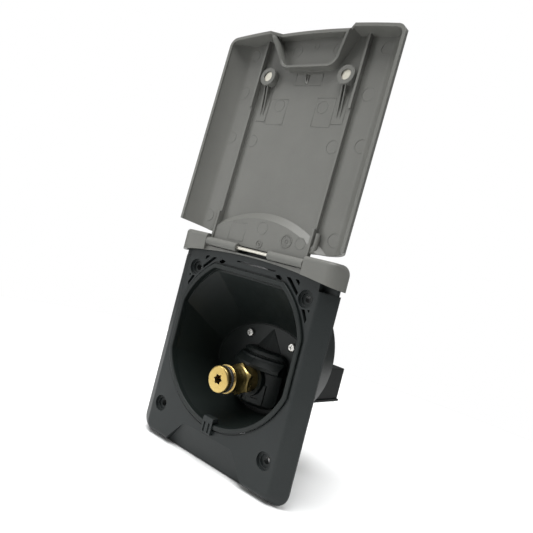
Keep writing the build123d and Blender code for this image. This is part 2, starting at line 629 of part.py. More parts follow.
def build_catch():
    """Small clip over the bead at the foot of the mouth."""
    z_low, z_top = -MOUTH_R - 5.6, -MOUTH_R + 6.2
    clip = block(-4.6, 4.6, FACE_Y - 2.6, FACE_Y - BEAD_HEIGHT - 0.1, z_low, z_top)
    clip += block(-4.6, 4.6, FACE_Y - BEAD_HEIGHT - 0.2, FACE_Y - 0.1, z_low, -MOUTH_R - BEAD_OUT - 0.3)
    clip += block(-4.6, 4.6, FACE_Y - BEAD_HEIGHT - 0.2, FACE_Y + 3, -MOUTH_R + BEAD_IN + 1.4, z_top)
    clip = fillet(clip.edges().filter_by(Axis.X).group_by(Axis.Y)[0], 1.0)
    for x in (-2.1, 2.1):
        clip -= block(x - 0.8, x + 0.8, FACE_Y - 4, FACE_Y - BEAD_HEIGHT - 0.15, z_low + 1, z_top - 4)
    return clip


def build_keepers():
    y = FACE_Y + SHELL
    return Part() + [rod(x, z, KEEPER_R, y, y + KEEPER_T) for x, z in keeper_points()]


def build_keeper_caps():
    y = FACE_Y + SHELL + KEEPER_T
    return Part() + [rod(x, z, KEEPER_R, y, KEEPER_REAR) for x, z in keeper_points()]


# ---- carrier plate and what it holds -------------------------------------------------------
def plate_holes(radius, y0, y1):
    return Part() + [rod(x, z, radius, y0, y1) for x, z in plate_screw_points()]


def build_plate():
    plate = slab(ellipse(-0.4), POT_FLOOR, POT_FLOOR + PLATE_T)
    plate -= plate_holes(1.7, POT_FLOOR - 1, POT_REAR)
    plate -= rod(0, AXIS_Z, TUBE_THREAD_R + FIT, POT_FLOOR - 1, POT_REAR)
    x, low, high = DOME_SCREW
    for sx in (-1, 1):
        for z in (low, high):
            plate -= rod(sx * x, z, 1.4, POT_FLOOR - 1, POT_REAR)
    return plate


def build_seal():
    y = POT_FLOOR + PLATE_T
    seal = slab(ellipse(-0.8) - ellipse(-LEDGE), y, y + SEAL_T)
    return seal - plate_holes(1.8, y - 1, POT_REAR)


def dome_profile():
    top, low, back, front = DOME_TOP, DOME_BOTTOM, DOME_FRONT + DOME_BOW, DOME_FRONT
    pts = [(back, top), (front + 5, top), (front + 2.2, top - 1.2), (front + 1, top - 3.6),
           (front + 2.2, top - 4.4), (front + 2.2, top - 5), (front - 0.6, top - 5.6),
           (front - 1.2, top - 7), (front - 4.9, top - 11), (front - 4.9, top - 13.6),
           (front, top - 15.4), (front, low + 2.5), (front + 2.5, low), (back, low)]
    return make_face(Polyline(*pts, close=True))


def build_dome():
    """Both halves of the cover round the inlet tube, split on the centre plane."""
    plane = Plane(origin=(0, 0, 0), x_dir=(0, 1, 0), z_dir=(1, 0, 0))
    upright = Axis((0, DOME_FRONT + DOME_BOW, 0), (0, 0, 1))
    body = revolve(plane * dome_profile(), upright)
    mid = (DOME_TOP + DOME_BOTTOM) / 2
    body &= slab(Pos(0, mid) * RectangleRounded(2 * DOME_HALF, DOME_TOP - DOME_BOTTOM, 8.5), 0, POT_FLOOR)
    body += rod(0, AXIS_Z, TUBE_R + 3.2, DOME_FRONT - 2.5, POT_FLOOR)
    tip = Vertex(0, POT_FLOOR - 3.2, DOME_TOP)
    base = Wire(Polyline((-12, POT_FLOOR, DOME_TOP), (12, POT_FLOOR, DOME_TOP),
                         (0, POT_FLOOR, DOME_TOP + 16.6), close=True))
    body += Solid.make_loft([base, tip], True)
    foot = block(10.5, 14, 0, POT_FLOOR, DOME_BOTTOM + 3, DOME_TOP - 24)
    foot += block(4, 14, 0, POT_FLOOR, DOME_BOTTOM + 3, DOME_BOTTOM + 6.5)
    raised = Pos(0, DOME_FRONT + DOME_BOW, AXIS_Z) * Cylinder(DOME_BOW + 1.2, 60)
    body += mirrored(foot) & raised
    body -= rod(0, AXIS_Z, TUBE_R + GAP, 0, POT_FLOOR + 1)
    x, low, high = DOME_SCREW
    for sx in (-1, 1):
        for z in (low, high):
            body -= rod(sx * x, z, 1.25, POT_FLOOR + PLATE_T - DOME_SCREW_L - 0.5, POT_FLOOR + 1)
    right = body & block(SEAM, 60, 0, POT_FLOOR, -80, 40)
    left = body & block(-60, -SEAM, 0, POT_FLOOR, -80, 40)
    return left, right


def build_plate_screws():
    return Part() + [pan_screw(x, z, POT_FLOOR, 3.15, 2.3, PLATE_SHANK_R, POT_REAR - POT_FLOOR - 0.5)
                     for x, z in plate_screw_points()]


def build_dome_screws():
    x, low, high = DOME_SCREW
    y = POT_FLOOR + PLATE_T
    return Part() + [back_screw(sx * x, z, y, 2.5, 1.8, 1.2, DOME_SCREW_L)
                     for sx in (-1, 1) for z in (low, high)]


# ---- nipple and water way ------------------------------------------------------------------
def turned(profile):
    """Body of revolution about the nipple axis from (Y, radius) points."""
    pts = [(y, AXIS_Z + r) for y, r in profile]
    face = make_face(Polyline(*pts, close=True))
    plane = Plane(origin=(0, 0, 0), x_dir=(0, 1, 0), z_dir=(1, 0, 0))
    return revolve(plane * face, Axis((0, 0, AXIS_Z), (0, 1, 0)))


def build_nipple():
    groove_r = ORING_CENTRE_R - ORING_R
    g0, g1 = ORING_Y - ORING_R - 0.1, ORING_Y + ORING_R + 0.1
    rim = 1.1
    stem_end = NUT_FROM + NUT_LENGTH + 8
    pts = [(TIP_Y, 0), (TIP_Y, NIPPLE_R - rim), (TIP_Y + rim * 0.3, NIPPLE_R - rim * 0.3),
           (TIP_Y + rim, NIPPLE_R), (g0, NIPPLE_R), (g0, groove_r), (g1, groove_r), (g1, NIPPLE_R),
           (g1 + 0.7, NIPPLE_R), (g1 + 0.7, NIPPLE_FLANGE_R - 0.3), (g1 + 1.0, NIPPLE_FLANGE_R),
           (g1 + 2.2, NIPPLE_FLANGE_R), (g1 + 2.5, NIPPLE_FLANGE_R - 0.3), (g1 + 2.5, NIPPLE_R - 0.9),
           (NUT_FROM, NIPPLE_R - 0.9), (NUT_FROM, STEM_R), (stem_end, STEM_R), (stem_end, 0)]
    body = turned(pts)
    body -= rod(0, AXIS_Z, BORE_R, TIP_Y - 1, stem_end + 1)
    socket = Circle(SOCKET_R)
    for lobe in PolarLocations(SOCKET_R, 6):
        socket += lobe * Circle(SOCKET_LOBE_R)
    return body - slab(Pos(0, AXIS_Z) * socket, TIP_Y - 1, TIP_Y + SOCKET_DEPTH)


def build_oring():
    ring = Torus(ORING_CENTRE_R, ORING_R)
    return Pos(0, ORING_Y, AXIS_Z) * Rot(90, 0, 0) * ring


def build_nut():
    y0, y1 = NUT_FROM, NUT_FROM + NUT_LENGTH
    nut = slab(Pos(0, AXIS_Z) * Rot(0, 0, 30) * hexagon(NUT_FLATS), y0, y1)
    corner = NUT_FLATS / sqrt(3)
    flare = [(0, 0), (3.4, 0.15), (6.0, 0.8), (8.4, 1.9), (10.2, 3.3)]
    cone = turned([(y0, 0), *[(y0 + y, NUT_NECK_R + r) for y, r in flare],
                   (y0 + 11.0, corner), (y1 - 0.8, corner), (y1, corner - 0.8), (y1, 0)])
    return (nut & cone) - rod(0, AXIS_Z, STEM_R + FIT / 2, y0 - 1, y1 + 1)


def build_tube():
    y0 = NUT_FROM + NUT_LENGTH
    stem_end = y0 + 8
    end = TAIL_FROM + 6
    pts = [(y0, BORE_R), (y0, TUBE_R - 0.6), (y0 + 0.6, TUBE_R), (POT_FLOOR, TUBE_R),
           (POT_FLOOR, TUBE_THREAD_R), (end, TUBE_THREAD_R), (end, BORE_R)]
    return turned(pts) - rod(0, AXIS_Z, STEM_R + FIT / 2, y0 - 1, stem_end + 0.2)


def build_washer():
    y = POT_FLOOR + PLATE_T
    return rod(0, AXIS_Z, 12.5, y, y + WASHER_T) - rod(0, AXIS_Z, TUBE_THREAD_R + FIT, y - 1, y + 3)


def build_locknut():
    y = POT_FLOOR + PLATE_T + WASHER_T
    nut = slab(Pos(0, AXIS_Z) * Rot(0, 0, 30) * hexagon(LOCKNUT_FLATS), y, y + LOCKNUT_T)
    return nut - rod(0, AXIS_Z, TUBE_THREAD_R + FIT / 2, y - 1, y + 10)


def build_tail():
    y0, y1 = TAIL_FROM, TAIL_END
    collar = y0 + 10
    pts = [(y0, BORE_R), (y0, 10.2), (y0 + 0.6, 10.8), (collar - 0.6, 10.8), (collar, 10.2), (collar, TAIL_R)]
    step = (y1 - collar - 2) / 4
    for i in range(4):
        y = collar + 2 + i * step
        pts += [(y, TAIL_R), (y, TAIL_R + 0.8), (y + step * 0.8, TAIL_R)]
    pts += [(y1, TAIL_R), (y1, BORE_R)]
    return turned(pts) - rod(0, AXIS_Z, TUBE_THREAD_R + FIT / 2, y0 - 1, y0 + 6.2)


# ---- rear cover with the service duct ------------------------------------------------------
def build_rear_cover():
    y0, y1 = POT_REAR, POT_REAR + REAR_COVER_T
    plate = slab(ellipse(-2.5), y0, y1) - rod(0, AXIS_Z, PLATE_HOLE_R, y0 - 1, y1 + 1)
    duct = block(DUCT_LEFT, DUCT_RIGHT, y0, DUCT_REAR, DUCT_BOTTOM, DUCT_TOP)
    duct = fillet(duct.edges().filter_by(Axis.Y), 0.8)
    cover = (plate + duct)
    cover -= block(DUCT_LEFT + DUCT_WALL, DUCT_RIGHT - DUCT_WALL, y0 - 1, DUCT_REAR - DUCT_WALL,
                   DUCT_BOTTOM + DUCT_WALL, DUCT_TOP - DUCT_WALL)
    cover -= rod(0, AXIS_Z, PLATE_HOLE_R, y0 - 1, y1 + 1) & block(-20, DUCT_LEFT, 0, 90, -60, 10)
    window = block(DUCT_LEFT + 4, DUCT_RIGHT - 4, y1 + 4, DUCT_REAR - 5, DUCT_BOTTOM - 1, DUCT_BOTTOM + 4)
    cover -= window
    for x, z in cover_screw_points():
        cover -= rod(x, z, COVER_SHANK_R + GAP, y0 - 1, y1 + 1)
    for x, y in duct_screw_points():
        cover -= Pos(x, y, DUCT_BOTTOM + 1) * Cylinder(0.9, 4)
    return cover


def duct_screw_points():
    y0, y1 = POT_REAR + REAR_COVER_T + 2, DUCT_REAR - 2.5
    return [(x, y) for x in (DUCT_LEFT + 2.2, DUCT_RIGHT - 2.2) for y in (y0, y1)]


def build_duct_lid():
    out = DUCT_LID_OUT
    lid = block(DUCT_LEFT - 0.3, DUCT_RIGHT + out, POT_REAR + REAR_COVER_T + 0.2, DUCT_REAR + out,
                DUCT_BOTTOM - DUCT_LID_T, DUCT_BOTTOM)
    for x, y in duct_screw_points():
        lid -= Pos(x, y, DUCT_BOTTOM) * Cylinder(1.0, 6)
    return lid


def build_duct_screws():
    screws = Part()
    for x, y in duct_screw_points():
        head = Pos(x, y, DUCT_BOTTOM - DUCT_LID_T - 0.6) * Cylinder(1.8, 1.2)
        shank = Pos(x, y, DUCT_BOTTOM - 0.1) * Cylinder(0.85, 3.4)
        slot = Pos(x, y, DUCT_BOTTOM - DUCT_LID_T - 1.2) * (Box(2.4, 0.5, 1) + Box(0.5, 2.4, 1))
        screws += head + shank - slot
    return screws


def build_rear_cover_screws():
    y = POT_REAR + REAR_COVER_T
    return Part() + [back_screw(x, z, y, 2.8, 1.9, COVER_SHANK_R, REAR_COVER_T + 1.9)
                     for x, z in cover_screw_points()]


def build_hinge_screws():
    x, z = COVER_SCREW
    return mirrored(back_screw(x, z, HINGE_SCREW_Y, HINGE_HEAD_R, 1.8, HINGE_SHANK_R, 6.7))


def build_gasket():
    return slab(gasket_ring(0), -GASKET_T, 0)


def main():
    dome_left, dome_right = build_dome()
    nodes = {
        "frame": build_frame(),
        "pot": build_pot(),
        "wall_gasket": build_gasket(),
        "rim_clip": build_catch(),
        "hinge_cover": build_cover(),
        "hinge_cover_screws": build_hinge_screws(),
        "hinge_pin": build_pin(),
        "lid": build_lid(),
        "lid_magnets": build_magnets(),
        "keeper_discs": build_keepers(),
        "keeper_caps": build_keeper_caps(),
        "carrier_plate": build_plate(),
        "carrier_seal": build_seal(),
        "carrier_screws": build_plate_screws(),
        "dome_left": dome_left,
        "dome_right": dome_right,
        "dome_screws": build_dome_screws(),
        "nipple_body": build_nipple(),
        "nipple_o_ring": build_oring(),
        "nipple_nut": build_nut(),
        "inlet_tube": build_tube(),
        "tube_washer": build_washer(),
        "tube_locknut": build_locknut(),
        "hose_tail": build_tail(),
        "rear_cover": build_rear_cover(),
        "rear_cover_screws": build_rear_cover_screws(),
        "duct_lid": build_duct_lid(),
        "duct_lid_screws": build_duct_screws(),
    }
    for name, shape in nodes.items():
        export_step(shape, f"parts/{name}.step")


if __name__ == "__main__":
    main()
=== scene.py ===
"""Looks of the service inlet box: materials, moulded details, light and camera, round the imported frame."""

import json
import math

import bmesh
import bpy
from mathutils import Matrix, Vector


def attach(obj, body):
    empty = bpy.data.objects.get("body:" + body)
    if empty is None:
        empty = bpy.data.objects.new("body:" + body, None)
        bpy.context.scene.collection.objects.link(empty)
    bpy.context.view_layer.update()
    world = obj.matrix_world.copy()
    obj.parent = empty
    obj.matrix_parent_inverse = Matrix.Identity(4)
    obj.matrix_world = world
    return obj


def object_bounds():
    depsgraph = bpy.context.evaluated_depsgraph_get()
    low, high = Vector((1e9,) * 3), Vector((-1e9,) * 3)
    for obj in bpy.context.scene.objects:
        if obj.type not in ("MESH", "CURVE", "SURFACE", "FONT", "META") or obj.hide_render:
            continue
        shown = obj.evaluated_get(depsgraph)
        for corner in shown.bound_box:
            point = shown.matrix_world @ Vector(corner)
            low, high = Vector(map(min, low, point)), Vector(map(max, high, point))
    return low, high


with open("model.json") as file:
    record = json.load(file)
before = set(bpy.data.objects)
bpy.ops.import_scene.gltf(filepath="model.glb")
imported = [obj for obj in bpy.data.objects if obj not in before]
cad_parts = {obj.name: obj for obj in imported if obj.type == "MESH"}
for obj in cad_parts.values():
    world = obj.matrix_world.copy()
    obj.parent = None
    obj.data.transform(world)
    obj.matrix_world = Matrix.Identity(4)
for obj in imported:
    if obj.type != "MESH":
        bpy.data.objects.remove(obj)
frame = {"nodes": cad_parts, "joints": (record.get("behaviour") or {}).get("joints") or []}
cad_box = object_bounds()
MM = 0.001
NODES = frame["nodes"]
HINGE = next(j for j in frame["joints"] if j["name"] == "lid_hinge")
HINGE_POINT = Vector(HINGE["pos_m"])
OPEN_ANGLE = math.radians(HINGE["range_deg"][1])

# ---- marks on the lid's floor (mm): across, distance from the hinge axis, then sizes --------
SUNK = 0.15               # how far every mark reaches into the floor
RING_WIDTH, RING_HEIGHT = 0.34, 0.16
FLOOR_RINGS = (           # ejector marks: across, from the hinge, radius
    (-19.7, 108.9, 4.4), (19.2, 108.3, 4.4), (-36.4, 81.0, 4.6), (36.4, 80.8, 4.6), (-58.4, 82.5, 4.6),
    (58.5, 82.5, 4.6), (-58.2, 118.6, 4.6), (53.0, 117.5, 4.6), (-58.5, 19.8, 4.6), (58.2, 19.6, 4.6),
    (-17.0, 150.6, 4.2), (19.0, 150.6, 4.2), (-57.5, 148.5, 4.2), (57.5, 148.5, 4.2), (0.8, 17.6, 4.6),
    (36.0, 12.6, 4.0), (-0.6, 153.6, 1.8),
)
DIALS = ((24.5, 12.1, 4.4, 12), (2.0, 6.2, 2.6, 0))       # across, from the hinge, radius, ticks
DIAL_RIM, DIAL_HUB = 0.45, 0.40                           # width and height of the rim, of the hub
DIAL_HUB_SHARE, DIAL_TICK_SHARE = 0.30, 0.72              # shares of the dial's radius
TICK_LENGTH, TICK_WIDTH = 0.9, 0.3
CENTRE_BARS = ((-1.9, 129.3, 0.16), (-0.1, 128.9, -0.10)) # across, from the hinge, turn in radians
CENTRE_BAR_LENGTH, CENTRE_BAR_WIDTH, CENTRE_BAR_HEIGHT = 6.6, 0.8, 0.75
INSERTS = (               # outlines of mould inserts: left, right, near end, far end
    (-11.2, 12.3, 124.2, 133.2), (13.4, 29.0, 94.2, 115.0),
    (-29.0, -12.6, 94.6, 114.0), (-29.0, -14.0, 5.2, 18.4),
)
INSERT_WIDTH, INSERT_HEIGHT = 0.32, 0.13

# ---- light and camera ----------------------------------------------------------------------
WORLD_LOW, WORLD_HIGH = 0.06, 0.30        # strength of the light from below and from above
FLOOR_RADIUS = 0.55
FLOOR_GAP = 0.5 * MM                      # between the object's lowest point and the floor
LIT_POINT = (0, 0, 0.07)
OVERHEAD_PLACE, OVERHEAD_SIZE, OVERHEAD_POWER = (0.10, -0.35, 1.10), (0.7, 0.7), 7.0
FRONT_PLACE, FRONT_SIZE, FRONT_POWER = (-0.75, -0.85, 0.30), (0.5, 0.8), 3.4
WASH_STRENGTH, WASH_SPREAD, WASH_TILT = 3.3, math.radians(60), math.radians(12)
CAMERA_PLACE = (247.25 * MM, -295.01 * MM, 61.52 * MM)
CAMERA_TURN = (89.50, -14.51, 39.18)      # degrees about x, y and z; the photograph's frame is rolled
CAMERA_SENSOR = 36.0
CAMERA_LENS = 36.6


# ---- node helpers --------------------------------------------------------------------------
def new_material(name):
    """A material with its node tree, its principled shader and its texture coordinates."""
    material = bpy.data.materials.new(name)
    material.use_nodes = True
    tree = material.node_tree
    shader = tree.nodes["Principled BSDF"]
    coords = tree.nodes.new("ShaderNodeTexCoord").outputs["Object"]
    return material, tree, shader, coords


def noise(tree, coords, scale, detail=4.0, roughness=0.6):
    """Clouds of 0..1 at a scale given per metre."""
    node = tree.nodes.new("ShaderNodeTexNoise")
    node.inputs["Scale"].default_value = scale
    node.inputs["Detail"].default_value = detail
    node.inputs["Roughness"].default_value = roughness
    tree.links.new(coords, node.inputs["Vector"])
    return node.outputs["Fac"]


def stretched(tree, coords, scale):
    """Coordinates scaled by a different amount on each axis."""
    node = tree.nodes.new("ShaderNodeMapping")
    node.inputs["Scale"].default_value = scale
    tree.links.new(coords, node.inputs["Vector"])
    return node.outputs["Vector"]


def ramp(tree, value, low, high, start=0.3, stop=0.7):
    """Turns a value into a colour between two, over a stretch of it."""
    node = tree.nodes.new("ShaderNodeValToRGB")
    points = node.color_ramp.elements
    points[0].position, points[1].position = start, stop
    points[0].color, points[1].color = (*low, 1), (*high, 1)
    tree.links.new(value, node.inputs["Fac"])
    return node.outputs["Color"]


def span(tree, value, low, high):
    """Maps 0..1 to low..high."""
    node = tree.nodes.new("ShaderNodeMapRange")
    node.inputs["To Min"].default_value = low
    node.inputs["To Max"].default_value = high
    tree.links.new(value, node.inputs["Value"])
    return node.outputs["Result"]


def mix(tree, factor, a, b):
    """Blends two colours, each a plain colour or another node's output."""
    node = tree.nodes.new("ShaderNodeMix")
    node.data_type = "RGBA"
    tree.links.new(factor, node.inputs["Factor"])
    for socket, value in ((node.inputs["A"], a), (node.inputs["B"], b)):
        if isinstance(value, tuple):
            socket.default_value = (*value, 1)
        else:
            tree.links.new(value, socket)
    return node.outputs["Result"]


def bump(tree, height, strength, distance, normal=None):
    """Normals of a relief laid over the ones given."""
    node = tree.nodes.new("ShaderNodeBump")
    node.inputs["Strength"].default_value = strength
    node.inputs["Distance"].default_value = distance
    tree.links.new(height, node.inputs["Height"])
    if normal is not None:
        tree.links.new(normal, node.inputs["Normal"])
    return node.outputs["Normal"]


def soft_edges(tree, radius):
    """Normals rounded over sharp edges, as a mould leaves them."""
    node = tree.nodes.new("ShaderNodeBevel")
    node.samples = 4
    node.inputs["Radius"].default_value = radius
    return node.outputs["Normal"]


def edge_wear(tree, radius):
    """1 on sharp edges, 0 elsewhere: how far the rounded normal leans from the true one."""
    rounded = soft_edges(tree, radius)
    true_normal = tree.nodes.new("ShaderNodeNewGeometry").outputs["Normal"]
    dot = tree.nodes.new("ShaderNodeVectorMath")
    dot.operation = "DOT_PRODUCT"
    tree.links.new(rounded, dot.inputs[0])
    tree.links.new(true_normal, dot.inputs[1])
    node = tree.nodes.new("ShaderNodeMapRange")
    node.inputs["From Min"].default_value = 0.995
    node.inputs["From Max"].default_value = 0.85
    tree.links.new(dot.outputs["Value"], node.inputs["Value"])
    return node.outputs["Result"]


# ---- materials -----------------------------------------------------------------------------
def plastic(name, dark, light, edge, rough, grain, grain_depth, edge_radius=0.35 * MM):
    """Moulded plastic: spark-eroded grain, faint flow clouds, handling smudges and paler edges."""
    material, tree, shader, coords = new_material(name)
    clouds = noise(tree, coords, 14.0, 5.0)
    flow = noise(tree, stretched(tree, coords, (1.0, 1.0, 0.25)), 60.0, 3.0)
    specks = noise(tree, coords, grain, 2.0, 0.5)
    base = ramp(tree, clouds, dark, light)
    base = mix(tree, span(tree, specks, 0.0, 0.22), base, edge)
    base = mix(tree, span(tree, edge_wear(tree, edge_radius), 0.0, 0.55), base, edge)
    tree.links.new(base, shader.inputs["Base Color"])
    smudge = mix(tree, flow, (rough[0],) * 3, (rough[1],) * 3)
    tree.links.new(smudge, shader.inputs["Roughness"])
    shader.inputs["Specular IOR Level"].default_value = 0.30
    rounded = soft_edges(tree, edge_radius)
    coarse = bump(tree, flow, 0.08, 0.15 * MM, rounded)
    tree.links.new(bump(tree, specks, 0.35, grain_depth, coarse), shader.inputs["Normal"])
    return material


def turned_brass(name, centre_z, shade_and_dull=0.0):
    """Machined brass: fine rings round the nipple's axis, tarnish clouds and bright worn edges, darkened by
    painted shade and made rougher as the last argument grows.
    """
    material, tree, shader, coords = new_material(name)
    place = tree.nodes.new("ShaderNodeMapping")
    place.inputs["Location"].default_value = (0, 0, -centre_z)
    tree.links.new(coords, place.inputs["Vector"])
    rings = tree.nodes.new("ShaderNodeTexWave")
    rings.wave_type = "RINGS"
    rings.rings_direction = "Y"
    rings.inputs["Scale"].default_value = 900.0
    rings.inputs["Distortion"].default_value = 1.5
    rings.inputs["Detail"].default_value = 2.0
    tree.links.new(place.outputs["Vector"], rings.inputs["Vector"])
    tarnish = noise(tree, coords, 170.0, 6.0, 0.65)
    patches = noise(tree, coords, 45.0, 3.0)
    base = ramp(tree, patches, (0.50, 0.36, 0.115), (0.72, 0.56, 0.22))
    # The last argument spreads the dark tarnish colour over more of the surface: painted shade for brass
    # that sits in shadow. It also raises the roughness below.
    base = mix(tree, span(tree, tarnish, 0.0, 0.45 + shade_and_dull), base, (0.30, 0.20, 0.07))
    base = mix(tree, span(tree, edge_wear(tree, 0.25 * MM), 0.0, 0.6), base, (0.95, 0.82, 0.50))
    tree.links.new(base, shader.inputs["Base Color"])
    shader.inputs["Metallic"].default_value = 1.0
    tree.links.new(span(tree, tarnish, 0.20 + shade_and_dull * 0.4, 0.38 + shade_and_dull * 0.5), shader.inputs["Roughness"])
    fine = bump(tree, rings.outputs["Fac"], 0.10, 0.02 * MM, soft_edges(tree, 0.3 * MM))
    tree.links.new(bump(tree, tarnish, 0.10, 0.03 * MM, fine), shader.inputs["Normal"])
    return material


def plated_steel(name, dark, light, rough, along=(1.0, 1.0, 1.0)):
    """Bright plated steel with drawn lines and small stains."""
    material, tree, shader, coords = new_material(name)
    lines = noise(tree, stretched(tree, coords, along), 900.0, 3.0)
    stains = noise(tree, coords, 260.0, 5.0, 0.7)
    base = mix(tree, span(tree, stains, 0.0, 0.6), light, dark)
    base = mix(tree, span(tree, edge_wear(tree, 0.15 * MM), 0.0, 0.7), base, (0.95, 0.95, 0.93))
    tree.links.new(base, shader.inputs["Base Color"])
    shader.inputs["Metallic"].default_value = 1.0
    tree.links.new(span(tree, stains, rough, rough + 0.2), shader.inputs["Roughness"])
    tree.links.new(bump(tree, lines, 0.2, 0.02 * MM, soft_edges(tree, 0.15 * MM)), shader.inputs["Normal"])
    return material


def seal_rubber(name):
    """Moulded nitrile rubber: near black, a dusty bloom and a soft grain."""
    material, tree, shader, coords = new_material(name)
    bloom = noise(tree, coords, 320.0, 5.0, 0.7)
    grain = noise(tree, coords, 2600.0, 2.0)
    base = ramp(tree, bloom, (0.008, 0.008, 0.008), (0.028, 0.028, 0.027))
    tree.links.new(base, shader.inputs["Base Color"])
    tree.links.new(span(tree, bloom, 0.38, 0.62), shader.inputs["Roughness"])
    shader.inputs["Sheen Weight"].default_value = 0.12
    tree.links.new(bump(tree, grain, 0.25, 0.04 * MM), shader.inputs["Normal"])
    return material


def paint(node_names, material):
    """Gives CAD nodes a material."""
    for name in node_names:
        node = NODES[name]
        node.data.materials.clear()
        node.data.materials.append(material)


AXIS_Z = -26.0 * MM
BLACK = plastic("black_grained", (0.008, 0.011, 0.011), (0.014, 0.017, 0.017), (0.040, 0.046, 0.046),
                (0.40, 0.56), 1500.0, 0.06 * MM)
# Painted shade: a darker copy of the black plastic for the pot and the plate and domes inside it, where
# shade falls.
POT_PAINTED_SHADE_BLACK = plastic("black_pot_painted_shade", (0.003, 0.0052, 0.005), (0.006, 0.009, 0.008), (0.022, 0.028, 0.027),
                    (0.36, 0.52), 1500.0, 0.05 * MM)
# Painted shade: the darkest copy of the black plastic, for the rear cover and the duct lid, where shade
# falls. Its higher roughness is real.
DUCT_PAINTED_SHADE_BLACK = plastic("black_duct_painted_shade", (0.002, 0.003, 0.003), (0.004, 0.005, 0.005), (0.010, 0.012, 0.012),
                     (0.60, 0.75), 1500.0, 0.05 * MM)
GREY = plastic("grey_grained", (0.120, 0.121, 0.111), (0.150, 0.151, 0.139), (0.225, 0.225, 0.210),
               (0.34, 0.50), 1300.0, 0.05 * MM, 0.45 * MM)
BRASS = turned_brass("brass_bright", AXIS_Z)
# Painted shade: a darker copy of the same brass for the inlet tube, its locknut and the hose tail, which sit
# in shadow.
BRASS_PAINTED_SHADE = turned_brass("brass_painted_shade", AXIS_Z, 0.3)
STEEL = plated_steel("steel_plated", (0.42, 0.42, 0.40), (0.72, 0.71, 0.68), 0.22)
PIN_STEEL = plated_steel("steel_drawn", (0.38, 0.37, 0.32), (0.62, 0.60, 0.54), 0.26, (0.04, 1.0, 1.0))
RUBBED = plated_steel("crest_rubbed", (0.20, 0.20, 0.19), (0.42, 0.42, 0.40), 0.30)
NICKEL = plated_steel("nickel_plated", (0.42, 0.40, 0.33), (0.70, 0.68, 0.60), 0.38)
RUBBER = seal_rubber("rubber_seal")

paint(["frame", "rim_clip", "keeper_caps"], BLACK)
# The parts inside the pot get the darker black, which carries painted shade.
paint(["pot", "carrier_plate", "dome_left", "dome_right"], POT_PAINTED_SHADE_BLACK)
# The rear cover and the duct lid get the darkest black, which carries painted shade.
paint(["rear_cover", "duct_lid"], DUCT_PAINTED_SHADE_BLACK)
paint(["lid", "hinge_cover"], GREY)
paint(["nipple_body", "nipple_nut"], BRASS)
# These parts get the darker brass, which carries painted shade.
paint(["inlet_tube", "tube_locknut", "hose_tail"], BRASS_PAINTED_SHADE)
paint(["hinge_cover_screws", "carrier_screws", "dome_screws", "rear_cover_screws",
       "duct_lid_screws", "keeper_discs", "tube_washer"], STEEL)
paint(["hinge_pin"], PIN_STEEL)
paint(["lid_magnets"], NICKEL)
paint(["nipple_o_ring", "wall_gasket", "carrier_seal"], RUBBER)


# ---- moulded details -----------------------------------------------------------------------
def lid_frame():
    """Turns a place on the shut lid (across, from the hinge, behind its axis) into the open rest pose."""
    turn = Matrix.Rotation(-OPEN_ANGLE, 4, "X")
    shut = Matrix(((1, 0, 0, 0), (0, 0, 1, 0), (0, -1, 0, 0), (0, 0, 0, 1)))      # (x, s, t) to (x, y, z)
    return Matrix.Translation(HINGE_POINT) @ turn @ shut


LID_MESH = NODES["lid"]
LID_PLACE = lid_frame()
LID_BACK = LID_PLACE.inverted()


def finish_piece(mesh_name, bm, material):
    """Makes a piece of a bmesh given in millimetres on the shut lid, and lets it ride on the lid."""
    bmesh.ops.recalc_face_normals(bm, faces=bm.faces)
    bmesh.ops.scale(bm, vec=(MM, MM, MM), verts=bm.verts)
    mesh = bpy.data.meshes.new(mesh_name)
    bm.to_mesh(mesh)
    bm.free()
    for face in mesh.polygons:
        face.use_smooth = True
    mesh.materials.append(material)
    mesh.transform(LID_PLACE)
    piece = bpy.data.objects.new(mesh_name, mesh)
    bpy.context.scene.collection.objects.link(piece)
    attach(piece, "lid")


def floor_height(x, s):
    """How far the lid's own floor lies behind the hinge axis, at a place on the shut lid."""
    start = LID_PLACE @ Vector((x * MM, s * MM, 40 * MM))
    towards = (LID_PLACE.to_3x3() @ Vector((0, 0, -1))).normalized()
    hit, place, _, _ = LID_MESH.ray_cast(start, towards)
    if not hit:
        raise ValueError(f"no lid floor at {x}, {s}")
    return (LID_BACK @ place)[2] / MM


def add_ring(bm, x, s, radius, width, height, base, steps=40):
    """Low round-topped ring standing on the lid's floor."""
    profile = [(-width / 2, -SUNK), (-width / 2, height / 2), (0, height), (width / 2, height / 2),
               (width / 2, -SUNK)]
    rows = []
    for i in range(steps):
        turn = 2 * math.pi * i / steps
        across, along = math.cos(turn), math.sin(turn)
        rows.append([bm.verts.new((x + (radius + r) * across, s + (radius + r) * along, base + h))
                     for r, h in profile])
    for i in range(steps):
        now, after = rows[i], rows[(i + 1) % steps]
        for j in range(len(profile)):
            k = (j + 1) % len(profile)
            bm.faces.new((now[j], now[k], after[k], after[j]))


def add_bar(bm, x, s, length, width, height, base, turn=0.0):
    """Low moulded bar with sloping sides, turned in the plane of the floor."""
    corners = []
    for level, shrink in ((-SUNK, 0.0), (height, width * 0.22)):
        for dx, ds in ((-1, -1), (1, -1), (1, 1), (-1, 1)):
            px = dx * (width / 2 - shrink)
            ps = ds * (length / 2 - shrink)
            corners.append(bm.verts.new((x + px * math.cos(turn) - ps * math.sin(turn),
                                         s + px * math.sin(turn) + ps * math.cos(turn), base + level)))
    low, high = corners[:4], corners[4:]
    bm.faces.new(low[::-1])
    bm.faces.new(high)
    for i in range(4):
        j = (i + 1) % 4
        bm.faces.new((low[i], low[j], high[j], high[i]))


